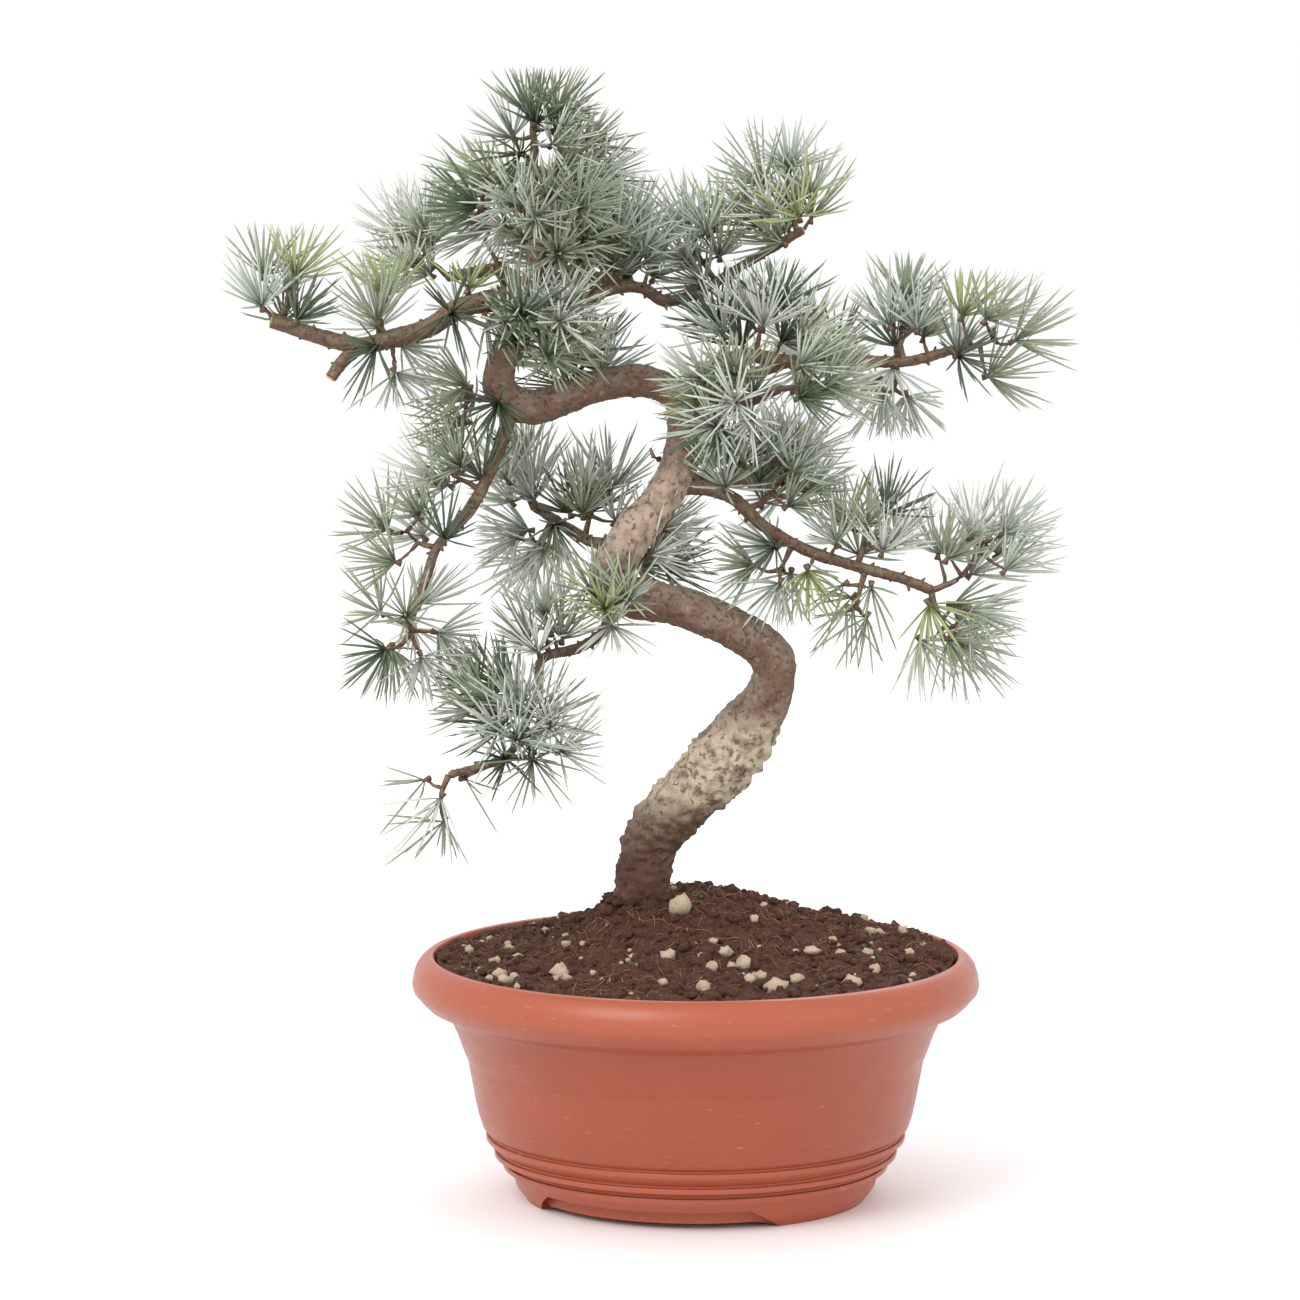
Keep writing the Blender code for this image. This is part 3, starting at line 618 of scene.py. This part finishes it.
BOUGHS = {
    "bough_left_arm": (
        (-63, -1, 318, 8.6), (-81, -6, 315, 7.6), (-94, -8, 307.5, 6.9), (-108, -10, 303.7, 6.2),
        (-116, -11, 301.8, 6.2), (-124, -12, 303.2, 5.9), (-147, -14, 311, 5.5),
    ),
    "bough_left_stub": ((-115, -11, 303, 5.2), (-123.5, -13, 295.6, 4.5), (-126.7, -14, 290.8, 4.2)),
    "bough_upper_left": ((-60, 1, 320, 5.8), (-67, 4, 327, 4.9), (-77, 12, 326, 4.6), (-87, 20, 324, 3.5)),
    "bough_upper_right": (
        (-60, 1, 317, 5.6), (-50, 2, 316, 4.9), (-39, 4, 317, 4.9), (-31, 7, 320, 4.5),
        (-19, 10, 320.6, 4.2), (-11, 13, 316, 4.2), (-1, 16, 318, 3.9), (14, 20, 326.5, 3.5),
        (37.5, 26, 340, 3.2),
    ),
    "bough_right_arm": (
        (-7, 4, 283, 7.7), (9, 6, 294.3, 6.3), (19, 8, 297, 5.6), (30.5, 9, 295, 4.9),
        (57, 10, 295, 4.6), (75, 10, 295, 3.9), (90, 10, 299, 3.5),
    ),
    "bough_mid_right": (
        (-4, 1, 275, 6.3), (6, -5, 278.7, 5.6), (16.5, -14, 282.5, 4.9), (28, -25, 288, 4.1),
    ),
    "bough_lower_right": (
        (-9, -2, 252, 6.3), (5.5, -4, 251, 5.2), (11.5, -6, 249, 4.9), (23.5, -8, 238.7, 4.6),
        (37, -9, 231, 4.3), (58, -10, 224.2, 3.9), (71, -10, 220.7, 3.8), (82, -10, 216.5, 3.6),
    ),
    "bough_left_droop": (
        (-64, -3, 281, 5.6), (-66, -5, 273, 4.9), (-70, -8, 262, 4.5), (-79, -12, 244.7, 4.2),
        (-91, -16, 230.4, 3.5), (-93.6, -18, 222.3, 3.5), (-100, -21, 206, 3.0),
    ),
    "bough_back_left": (
        (-23, -3, 233, 5.6), (-27, 8, 231, 5), (-37, 20, 230.4, 4.2), (-44, 30, 233.5, 3.9),
        (-58, 41, 241, 3.4),
    ),
    "bough_lower_left": (
        (-28, -9, 215, 4.6), (-33, -12, 201.6, 3.9), (-40, -14, 197, 3.8), (-54, -18, 192.5, 3.5),
        (-55, -20, 184.7, 3.1), (-60, -23, 170, 3.1), (-65.5, -25, 160.5, 2.8), (-74, -27, 157, 2.8),
        (-86, -29, 154, 2.4),
    ),
    "bough_back_top": ((-60, 1, 318, 5), (-50, 20, 323, 4.6), (-32, 42, 322, 4), (-18, 54, 318, 3.2)),
    "bough_back_mid": ((-5, 3, 277, 6), (8, 24, 284, 5), (32, 44, 292, 4.2), (48, 53, 296, 3.2)),
    "bough_back_low": ((-9, -2, 252, 5.6), (2, 16, 253, 4.8), (20, 33, 251, 4.2), (34, 44, 249, 3.2)),
}


def smooth_route(stations, step):
    """Rows of x, y, z and thickness, about a step apart, on a smooth curve through the stations."""
    points = np.array(stations, float)
    along = np.concatenate([[0.0], np.cumsum(np.linalg.norm(np.diff(points[:, :3], axis=0), axis=1))])
    slopes = np.gradient(points, along, axis=0)
    rows = []
    for i in range(len(points) - 1):
        span = along[i + 1] - along[i]
        for t in np.arange(0.0, 1.0, 1.0 / max(2, round(span / step))):
            rows.append(
                (1 + 2 * t) * (1 - t) ** 2 * points[i]
                + t * (1 - t) ** 2 * span * slopes[i]
                + t * t * (3 - 2 * t) * points[i + 1]
                + t * t * (t - 1) * span * slopes[i + 1]
            )
    rows.append(points[-1])
    return np.array(rows)


# %% Limb skins
RING_STEP = 0.9
TRUNK_AROUND, BOUGH_AROUND = 64, 22
FLARE, FLARE_FADES, FLARE_ROOTS = 0.22, 5.0, 4
OLD_BARK_TOP = 180.0


def relief(at, thickness):
    """How far the bark stands out from the even limb, for a limb of that thickness."""
    swell = 0.055 * thickness * noise.noise(at / 9)
    plates = abs(noise.noise(at / 3.4 + Vector((7, 0, 0))))
    warts = max(0.0, noise.noise(at / 1.5 + Vector((0, 5, 0))) - 0.25)
    grain = max(0.42, min(1.0, thickness / 12))
    old = max(0.0, min(1.0, (OLD_BARK_TOP - at.z) / 20))
    ridges = 1.3 * old * noise.noise(at / 2.6 + Vector((3, 3, 0)))
    scales = 0.22 * noise.noise(at / 0.9)
    return swell + scales + grain * ((0.8 + 0.9 * old) * plates - 0.35 + 0.9 * warts + ridges)


def limb_skin(route, around, rooted):
    """Points of a limb with its relief, and the faces between them."""
    heading = np.gradient(route[:, :3], axis=0)
    heading /= np.linalg.norm(heading, axis=1)[:, None]
    if rooted:
        heading[0] = (0, 0, 1)
    across = Vector(heading[0]).orthogonal().normalized()
    points = []
    for i, row in enumerate(route):
        tangent = Vector(heading[i])
        across = (across - tangent * across.dot(tangent)).normalized()
        other = tangent.cross(across)
        centre = Vector(row[:3])
        swell = math.exp(-(centre.z - route[0, 2]) / FLARE_FADES) if rooted else 0.0
        for k in range(around):
            angle = math.tau * k / around
            out = across * math.cos(angle) + other * math.sin(angle)
            radius = row[3] / 2 * (1 + FLARE * swell * (1 + 0.5 * math.cos(FLARE_ROOTS * angle)))
            place = centre + out * (radius + relief(centre + out * radius, row[3]))
            if rooted and i == 0:
                place.z = centre.z
            points.append(place)
    return points, rings_to_faces(len(route), around)


routes = {"trunk": smooth_route(TRUNK, RING_STEP)}
skin_points, skin_faces = limb_skin(routes["trunk"], TRUNK_AROUND, rooted=True)
piece("trunk_bark", skin_points, skin_faces, TRUNK_BARK, ["trunk"])
for name, stations in BOUGHS.items():
    routes[name] = smooth_route(stations, RING_STEP)
    skin_points, skin_faces = limb_skin(routes[name], BOUGH_AROUND, rooted=False)
    piece(name + "_bark", skin_points, skin_faces, BOUGH_BARK, [name])

# %% [markdown]
# ## Shoots and needles
#
# Every mass of needles is regrown from the nearest limb. A stem runs out from the limb, and twigs
# leave it or the limb for places spread through the mass. Each twig ends in a rosette, a fan of
# needles that opens outwards and a little up. The random numbers are seeded by the mass, so each run
# grows the same tree.

# %% Growth rule
NEEDLE_LONG, NEEDLE_SHORT, SHORTEST_NEEDLE = 27.0, 19.0, 9.0
NEEDLE_WIDE = 0.98
GOLDEN_TURN = 2.39996
MARGIN = 4.0  # how far needles may pass the mass's box
TWIG_BOW, TWIG_SAG, TWIG_STEP, TWIG_WOBBLE = 0.12, 0.06, 2.5, 0.25
STEM_R, TWIG_R, SPUR_R = 1.3, 0.95, 1.25
FAN_JITTER, TURN_JITTER, NEEDLE_BEND = 0.14, 0.3, 0.12
NEEDLES_IN_FAN, NEEDLES_IN_SPARSE_FAN = (20, 29), (7, 11)
FAN_SPREAD = (1.05, 1.45)  # radians from the axis to the outermost needle
STEM_STOPS = 0.15  # how far short of the mass's middle its stem ends
INWARD = 0.30  # how far the rosettes' heart lies from the middle towards the limb
CORE_SHARE = 0.62  # of the mass's half breadth that the rosettes stand in
SITE_APART = 9.8
TRIES = 400
LIFT = 0.45
FIRST_SEED = 100
OPEN_SITE_APART = 11.6
OPEN = ("foliage_droop", "foliage_right_arm_end", "foliage_lower_right_end", "foliage_left_arm")
SPARSE_LONGER = 5.0
SPARSE = ("foliage_lower_left_tip", "foliage_lower_right_hanging")
# The tones are partly the needles' own variation and partly lit and shaded copies of one colour: pale
# carries painted light, blue and green lie between, and the darkest tone is painted shade. Tip and yellow
# are the needles' own colours.
TONES = {
    "pale": ((0.54, 0.575, 0.49), (0.73, 0.765, 0.68)),
    "blue": ((0.365, 0.405, 0.335), (0.55, 0.595, 0.505)),
    "green": ((0.22, 0.255, 0.165), (0.375, 0.415, 0.295)),
    "painted_shade": ((0.075, 0.105, 0.06), (0.14, 0.18, 0.11)),
    "tip": ((0.30, 0.36, 0.14), (0.46, 0.52, 0.25)),
    "yellow": ((0.50, 0.38, 0.07), (0.62, 0.50, 0.14)),
}
TONE_SHARES = (
    ("pale", 0.26), ("blue", 0.34), ("green", 0.24), ("painted_shade", 0.08), ("tip", 0.075), ("yellow", 0.005),
)

limb_points = np.concatenate([route[:, :3] for route in routes.values()])
foliage = sorted(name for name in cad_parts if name.startswith("foliage_"))
needles = {tone: [] for tone in TONES}
twigs = Heap()


def pick_tone(rng, inner):
    """A tone for one spray. Sprays near the limb are darker: painted shade inside the crown."""
    if rng.random() < inner:
        return rng.choice(("green", "painted_shade"))
    draw = rng.random()
    for tone, share in TONE_SHARES:
        draw -= share
        if draw < 0:
            return tone
    return "blue"


def rosette(at, axis, box, rng, count, longest, tone, spread):
    """A fan of needles round an axis, kept within the mass's box."""
    side = axis.orthogonal().normalized()
    other = axis.cross(side)
    turn = rng.uniform(0, math.tau)
    for i in range(count):
        polar = 0.08 + (spread - 0.08) * ((i + 0.5) / count) ** 0.6 + rng.uniform(-FAN_JITTER, FAN_JITTER)
        turn += GOLDEN_TURN + rng.uniform(-TURN_JITTER, TURN_JITTER)
        across = side * math.cos(turn) + other * math.sin(turn)
        out = (axis * math.cos(polar) + across * math.sin(polar)).normalized()
        long = longest * rng.uniform(0.68, 1.0)
        bend = axis * NEEDLE_BEND + Vector([rng.uniform(-0.07, 0.07) for _ in range(3)])
        tip = at + (out + bend) * long
        over = max(max(lo - MARGIN - t, t - hi - MARGIN) for t, lo, hi in zip(tip, *box, strict=True))
        if over > 0:
            long -= over * 1.1
        if long > SHORTEST_NEEDLE:
            wide = NEEDLE_WIDE * rng.uniform(0.85, 1.15)
            needles[tone].append((*(at + out * 0.7), *out, long, *bend, wide))


def twig(start, end, rng, thick):
    """A woody shoot that leaves its parent gently and curves to its end."""
    span = end - start
    bow = span.orthogonal().normalized() * span.length * rng.uniform(-TWIG_BOW, TWIG_BOW)
    bow -= Vector((0, 0, TWIG_SAG * span.length))
    steps = max(4, round(span.length / TWIG_STEP))
    route = []
    for i in range(steps + 1):
        share = i / steps
        wobble = Vector([rng.uniform(-TWIG_WOBBLE, TWIG_WOBBLE) for _ in range(3)])
        route.append(start + span * share + bow * 4 * share * (1 - share) + wobble * (0 < i < steps))
    strand(twigs, route, thick, around=6)
    return route


def rosette_sites(base, low, high, apart, rng):
    """Places for rosettes in the inner part of a mass, each a good way from the others."""
    centre = (low + high) / 2
    heart = centre.lerp(base, INWARD)
    half = (high - low) / 2 * CORE_SHARE
    sites = []
    for _ in range(TRIES):
        spot = Vector([rng.uniform(-1, 1) for _ in range(3)])
        if spot.length > 1:
            continue
        spot = heart + Vector(a * b for a, b in zip(spot, half, strict=True))
        if all((spot - site).length > apart for site in sites):
            sites.append(spot)
    return sites


for seed, name in enumerate(foliage):
    rng = random.Random(FIRST_SEED + seed)
    low, high = (Vector(corner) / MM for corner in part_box(name))
    centre = (low + high) / 2
    base = Vector(limb_points[np.argmin(np.linalg.norm(limb_points - np.array(centre), axis=1))])
    reach = (centre - base).normalized()
    stem = twig(base, centre.lerp(base, STEM_STOPS), rng, STEM_R)
    sparse = name in SPARSE
    apart = OPEN_SITE_APART if name.startswith(OPEN) else SITE_APART
    for spot in rosette_sites(base, low, high, apart, rng):
        along_limb = limb_points[np.argmin(np.linalg.norm(limb_points - np.array(spot), axis=1))]
        parents = [Vector(along_limb)] + stem
        start = min(parents, key=lambda point: (point - spot).length)
        twig(start, spot, rng, TWIG_R)
        axis = (spot - base).normalized() * 0.8 + reach * 0.45 + Vector((0, 0, LIFT))
        axis = (axis + Vector([rng.uniform(-0.3, 0.3) for _ in range(3)])).normalized()
        # Sprays near the limb take the darker tones more often: painted shade inside the crown.
        inner = 0.35 if (spot - base).length < 12 else 0.08
        lengths = (NEEDLE_LONG, NEEDLE_LONG + SPARSE_LONGER) if sparse else (NEEDLE_SHORT, NEEDLE_LONG)
        longest = rng.uniform(*lengths)
        count = rng.randint(*(NEEDLES_IN_SPARSE_FAN if sparse else NEEDLES_IN_FAN))
        strand(twigs, [spot - axis * 2.2, spot - axis * 0.6, spot + axis * 0.9], SPUR_R, around=7)
        tone = pick_tone(rng, inner)
        rosette(spot, axis, (low, high), rng, count, longest, tone, rng.uniform(*FAN_SPREAD))
print({tone: len(rows) for tone, rows in needles.items()}, "needles")

# %% [markdown]
# A needle is a slim three-sided blade: thickest in the middle, bent a little, and pointed. All needles
# of one tone become one piece, in batches that stay light.

# %% Needle meshes
NEEDLE_STATIONS = ((0.0, 0.55), (0.35, 1.0), (0.82, 0.72))
BATCH = 11000


def needle_arrays(rows):
    """Points and faces of every needle in rows, made at once."""
    data = np.array(rows)
    base, out, long = data[:, 0:3], data[:, 3:6], data[:, 6:7]
    bend, wide = data[:, 7:10], data[:, 10:11]
    side = np.cross(out, np.where(np.abs(out[:, 2:3]) < 0.9, [[0.0, 0.0, 1.0]], [[1.0, 0.0, 0.0]]))
    side /= np.linalg.norm(side, axis=1)[:, None]
    other = np.cross(out, side)
    columns = []
    for share, thick in NEEDLE_STATIONS:
        centre = base + out * long * share + bend * long * share**2
        for k in range(3):
            angle = math.tau * k / 3
            columns.append(centre + (side * math.cos(angle) + other * math.sin(angle)) * wide * thick / 2)
    columns.append(base + out * long + bend * long)
    points = np.stack(columns, axis=1).reshape(-1, 3)
    each = len(columns)
    pattern = [(2, 1, 0)]
    for row in range(len(NEEDLE_STATIONS) - 1):
        for k in range(3):
            n = (k + 1) % 3
            pattern.append((row * 3 + k, row * 3 + n, row * 3 + 3 + n, row * 3 + 3 + k))
    last = (len(NEEDLE_STATIONS) - 1) * 3
    pattern += [(last + k, last + (k + 1) % 3, each - 1) for k in range(3)]
    faces = [tuple(start + i for i in face) for start in range(0, len(points), each) for face in pattern]
    return points, faces


for tone, rows in needles.items():
    if not rows:
        continue
    material = plain("needle_" + tone, *TONES[tone], 5.0, 0.5)
    for number, start in enumerate(range(0, len(rows), BATCH)):
        points, faces = needle_arrays(rows[start : start + BATCH])
        piece(f"needles_{tone}_{number}", points, faces, material, foliage)
piece("shoots", twigs.points, twigs.faces, BOUGH_BARK, foliage)

# %% [markdown]
# ## Small marks of its life
#
# Pale sawn faces close the cut limbs, and a few dead pegs stand where old shoots were.

# %% Cut faces and dead pegs
CUT_ENDS = ("bough_left_arm", "bough_left_stub", "bough_upper_right")
CUT_AROUND = 18
CUT_RINGS = ((-0.2, 0.80), (0.45, 0.78), (0.55, 0.60))  # place along, and share of the radius
cuts, pegs = Heap(), Heap()
for name in CUT_ENDS:
    route = routes[name]
    end, before = Vector(route[-1, :3]), Vector(route[-4, :3])
    axis = (end - before).normalized()
    side = axis.orthogonal().normalized()
    other = axis.cross(side)
    points = []
    for offset, share in CUT_RINGS:
        for k in range(CUT_AROUND):
            turn = math.tau * k / CUT_AROUND
            wide = route[-1, 3] / 2 * share
            points.append(end + axis * offset + (side * math.cos(turn) + other * math.sin(turn)) * wide)
    cuts.take(points, rings_to_faces(len(CUT_RINGS), CUT_AROUND))
OLD_LOOP = (
    (-57, 1, 320), (-54.8, -2, 323), (-52, -4, 329), (-48, -5, 332.5), (-43.5, -5, 333),
    (-40.4, -4, 330.8), (-41.4, -3, 327), (-43.2, -3, 323.7),
)
DEAD_PEGS = (
    ((-18, -6, 219), (-17, -9, 214), (-14, -11, 211)),
    ((-18, -6, 219), (-19, -10, 222), (-20, -12, 225)),
    ((-13, -7, 262), (-15, -9, 263), (-16, -10, 266)),
    ((-66, 0, 318), (-70, 3, 331), (-74, 4, 338)),
    ((70, 10, 296), (72, 9, 302), (74, 8, 306)),
)
PEG_EVERY = 3.4
DEAD_PEG_R, OLD_LOOP_R = 1.2, 2.4
PEG_SEED = 21
peg_rng = random.Random(PEG_SEED)
for name in BOUGHS:
    route = routes[name]
    turn = 0.0
    for i in range(6, len(route) - 4, round(PEG_EVERY / RING_STEP)):
        centre, ahead = Vector(route[i, :3]), Vector(route[i + 2, :3] - route[i - 2, :3]).normalized()
        side = ahead.orthogonal().normalized()
        turn += GOLDEN_TURN + peg_rng.uniform(-0.4, 0.4)
        out = side * math.cos(turn) + ahead.cross(side) * math.sin(turn)
        foot = centre + out * (route[i, 3] / 2 - 0.6)
        tip = foot + (out + ahead * 0.5).normalized() * peg_rng.uniform(1.2, 2.4)
        strand(pegs, [foot, foot.lerp(tip, 0.6), tip], peg_rng.uniform(0.6, 1.05), around=6)
for route in DEAD_PEGS:
    strand(pegs, [Vector(point) for point in route], DEAD_PEG_R, around=7)
strand(pegs, [Vector(point) for point in OLD_LOOP], OLD_LOOP_R, around=12)
piece("cut_faces", cuts.points, cuts.faces, CUT_WOOD, list(CUT_ENDS))
piece("old_pegs", pegs.points, pegs.faces, BOUGH_BARK, ["trunk", *BOUGHS])
